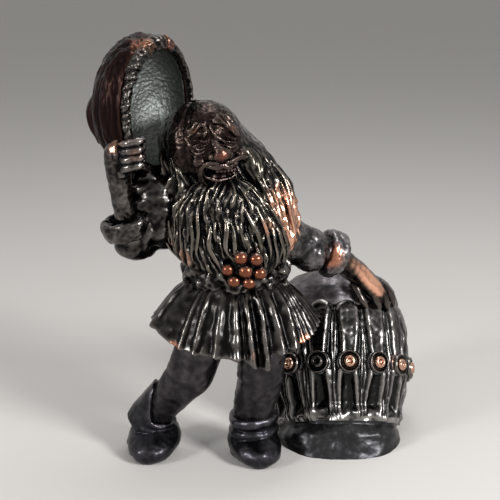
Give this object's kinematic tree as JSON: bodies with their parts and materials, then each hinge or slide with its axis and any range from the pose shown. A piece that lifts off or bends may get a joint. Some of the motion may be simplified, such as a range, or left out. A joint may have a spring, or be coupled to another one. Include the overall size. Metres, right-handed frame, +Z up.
{
  "type": "metal gnome figure",
  "caption": "Cast-metal gnome in a pleated tunic that lifts its deep hat and leans on a strapped, leaning keg; a free-standing shelf ornament.",
  "frame": {"origin": "middle of the object's footprint box, on the ground", "axes": "+Z up, the figure faces -Y, its own right arm with the hat is on the -X side"},
  "size_m": [0.1014, 0.0764, 0.1278],
  "materials": {
    "patinated_bronze": "dark brown-black patina, polished on the high spots",
    "worn_copper": "copper rubbed bright",
    "steel_pin": "plain drawn steel"
  },
  "bodies": {
    "root": {"torso": "patinated_bronze", "head": "patinated_bronze", "beard": "patinated_bronze", "hair": "patinated_bronze", "right_moustache": "patinated_bronze", "left_moustache": "patinated_bronze", "skirt": "patinated_bronze", "sash": "patinated_bronze", "grape_buckle": "worn_copper", "right_leg": "patinated_bronze", "left_leg": "patinated_bronze", "right_boot": "patinated_bronze", "left_boot": "patinated_bronze", "right_sleeve": "patinated_bronze", "left_sleeve": "patinated_bronze", "right_cuff": "patinated_bronze", "left_cuff": "patinated_bronze", "right_hand": "patinated_bronze", "left_hand": "worn_copper", "hat_crown": "patinated_bronze", "hat_brim": "patinated_bronze", "hat_tip": "patinated_bronze", "keg_foot": "patinated_bronze", "keg_body": "patinated_bronze", "keg_lid": "patinated_bronze", "keg_stud_01": "worn_copper", "keg_stud_02": "worn_copper", "keg_stud_03": "worn_copper", "keg_stud_04": "worn_copper", "keg_stud_05": "worn_copper", "keg_stud_06": "worn_copper", "keg_stud_07": "worn_copper", "keg_stud_08": "worn_copper", "keg_stud_09": "worn_copper", "keg_stud_10": "worn_copper", "keg_stud_11": "worn_copper", "keg_stud_12": "worn_copper", "keg_stud_13": "worn_copper", "keg_stud_14": "worn_copper", "keg_stud_15": "worn_copper", "neck_dowel": "steel_pin", "waist_dowel": "steel_pin", "right_hip_dowel": "steel_pin", "left_hip_dowel": "steel_pin", "right_ankle_dowel": "steel_pin", "left_ankle_dowel": "steel_pin", "right_shoulder_dowel": "steel_pin", "left_shoulder_dowel": "steel_pin", "keg_lid_dowel": "steel_pin", "keg_foot_dowel": "steel_pin"}
  },
  "joints": []
}
